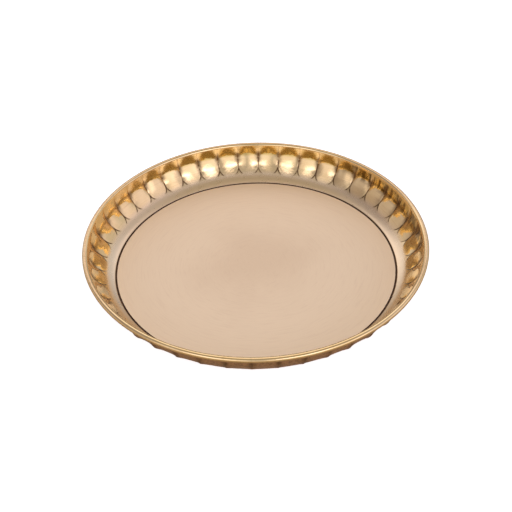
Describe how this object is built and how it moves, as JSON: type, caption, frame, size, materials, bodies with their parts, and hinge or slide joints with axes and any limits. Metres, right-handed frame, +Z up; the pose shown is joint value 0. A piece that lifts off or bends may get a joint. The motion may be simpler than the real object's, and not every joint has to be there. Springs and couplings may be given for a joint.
{
  "type": "fluted brass tray",
  "caption": "Round shallow brass tray: flat floor plate let into a fluted wall with a smooth rolled and wired edge.",
  "frame": {"origin": "centre of the face that the tray stands on", "axes": "+Z up through the middle of the well; the tray is the same all round, and one flute crease lies near +Y"},
  "size_m": [0.2998, 0.2998, 0.0345],
  "materials": {
    "wall_brass": "polished by hand, with brown tarnish in the creases and on the outside",
    "floor_brass": "satin polish with fine circular lines and faint pinkish tarnish",
    "wire_brass": "drawn wire, unpolished, hidden inside the rolled edge",
    "dark_solder": "rough brazing metal, brown-black with old polish and tarnish"
  },
  "bodies": {
    "root": {"fluted_wall": "wall_brass", "floor_plate": "floor_brass", "rim_wire": "wire_brass", "seam_solder": "dark_solder"}
  },
  "joints": []
}
